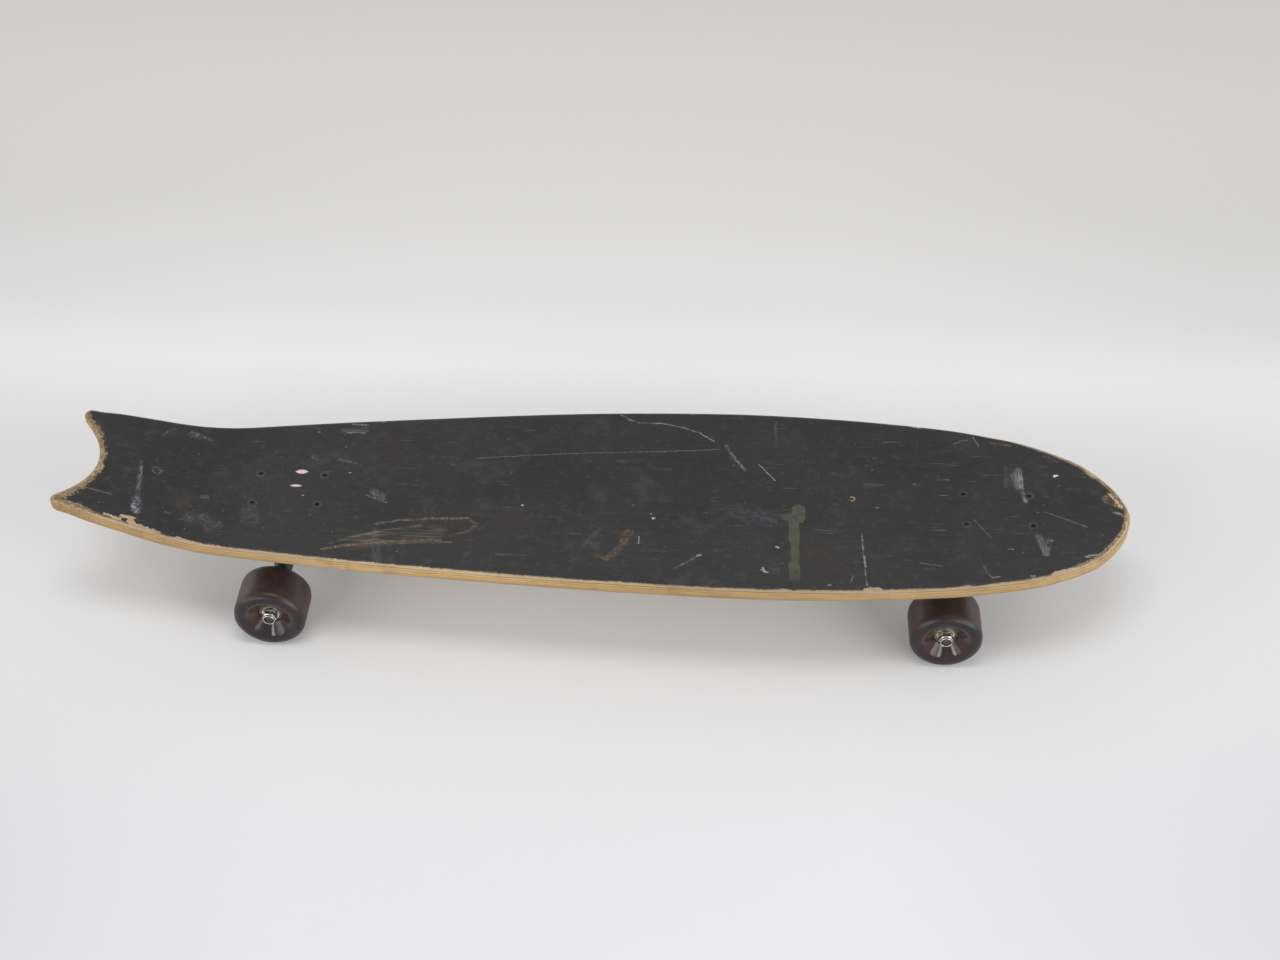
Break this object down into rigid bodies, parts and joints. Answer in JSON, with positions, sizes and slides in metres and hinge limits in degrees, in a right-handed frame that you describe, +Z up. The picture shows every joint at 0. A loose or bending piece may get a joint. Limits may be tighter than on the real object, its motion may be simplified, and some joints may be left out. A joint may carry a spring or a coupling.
{
  "type": "longboard skateboard",
  "caption": "Longboard skateboard with a fishtail kicktail deck, kingpin trucks that steer, and spinning urethane wheels.",
  "frame": {"origin": "on the floor, under the middle of the deck's length and width", "axes": "+X towards the nose, +Y towards the rider's left, +Z up"},
  "size_m": [1.027, 0.2496, 0.1433],
  "materials": {
    "deck": "maple plies, with a worn satin black top",
    "riser_rubber": "matt",
    "black_metal": "satin black",
    "black_bolt": "black oxide, worn",
    "zinc": "bright zinc plate",
    "steel": "ground",
    "urethane": "glossy dark red-brown urethane",
    "bushing": "satin",
    "black_plastic": "matt"
  },
  "bodies": {
    "board": {"deck": "deck", "front_riser_pad": "riser_rubber", "front_baseplate": "black_metal", "front_deck_bolt_1": "black_bolt", "front_deck_bolt_2": "black_bolt", "front_deck_bolt_3": "black_bolt", "front_deck_bolt_4": "black_bolt", "front_deck_nut_1": "zinc", "front_deck_nut_2": "zinc", "front_deck_nut_3": "zinc", "front_deck_nut_4": "zinc", "front_kingpin": "zinc", "front_kingpin_nut": "zinc", "front_pivot_cup": "black_plastic", "front_board_bushing": "bushing", "front_road_bushing": "bushing", "front_board_washer": "zinc", "front_road_washer": "zinc", "rear_riser_pad": "riser_rubber", "rear_baseplate": "black_metal", "rear_deck_bolt_1": "black_bolt", "rear_deck_bolt_2": "black_bolt", "rear_deck_bolt_3": "black_bolt", "rear_deck_bolt_4": "black_bolt", "rear_deck_nut_1": "zinc", "rear_deck_nut_2": "zinc", "rear_deck_nut_3": "zinc", "rear_deck_nut_4": "zinc", "rear_kingpin": "zinc", "rear_kingpin_nut": "zinc", "rear_pivot_cup": "black_plastic", "rear_board_bushing": "bushing", "rear_road_bushing": "bushing", "rear_board_washer": "zinc", "rear_road_washer": "zinc"},
    "front_hanger_assembly": {"front_hanger": "black_metal", "front_axle": "steel", "front_left_axle_nut": "zinc", "front_left_bearing_sleeve": "steel", "front_right_axle_nut": "zinc", "front_right_bearing_sleeve": "steel"},
    "front_left_wheel_assembly": {"front_left_wheel": "urethane", "front_left_inboard_bearing": "steel", "front_left_outboard_bearing": "steel"},
    "front_right_wheel_assembly": {"front_right_wheel": "urethane", "front_right_inboard_bearing": "steel", "front_right_outboard_bearing": "steel"},
    "rear_hanger_assembly": {"rear_hanger": "black_metal", "rear_axle": "steel", "rear_left_axle_nut": "zinc", "rear_left_bearing_sleeve": "steel", "rear_right_axle_nut": "zinc", "rear_right_bearing_sleeve": "steel"},
    "rear_left_wheel_assembly": {"rear_left_wheel": "urethane", "rear_left_inboard_bearing": "steel", "rear_left_outboard_bearing": "steel"},
    "rear_right_wheel_assembly": {"rear_right_wheel": "urethane", "rear_right_inboard_bearing": "steel", "rear_right_outboard_bearing": "steel"}
  },
  "joints": [
    {"name": "front_steer", "type": "hinge", "parent": "board", "child": "front_hanger_assembly", "pos_m": [0.3177, 0, 0.05203], "axis": [0.9085, 0, 0.4179], "range_deg": [-15, 15], "stiffness_Nm_per_rad": 60, "deforming": ["front_board_bushing", "front_road_bushing"]},
    {"name": "front_left_wheel_spin", "type": "hinge", "parent": "front_hanger_assembly", "child": "front_left_wheel_assembly", "pos_m": [0.3377, 0.0887, 0.03445], "axis": [0, 1, 0], "continuous": true},
    {"name": "front_right_wheel_spin", "type": "hinge", "parent": "front_hanger_assembly", "child": "front_right_wheel_assembly", "pos_m": [0.3377, -0.0887, 0.03445], "axis": [0, 1, 0], "continuous": true},
    {"name": "rear_steer", "type": "hinge", "parent": "board", "child": "rear_hanger_assembly", "pos_m": [-0.2905, 0, 0.05203], "axis": [-0.9085, 0, 0.4179], "range_deg": [-15, 15], "stiffness_Nm_per_rad": 60, "deforming": ["rear_board_bushing", "rear_road_bushing"]},
    {"name": "rear_left_wheel_spin", "type": "hinge", "parent": "rear_hanger_assembly", "child": "rear_left_wheel_assembly", "pos_m": [-0.3105, 0.0887, 0.03445], "axis": [0, 1, 0], "continuous": true},
    {"name": "rear_right_wheel_spin", "type": "hinge", "parent": "rear_hanger_assembly", "child": "rear_right_wheel_assembly", "pos_m": [-0.3105, -0.0887, 0.03445], "axis": [0, 1, 0], "continuous": true}
  ]
}
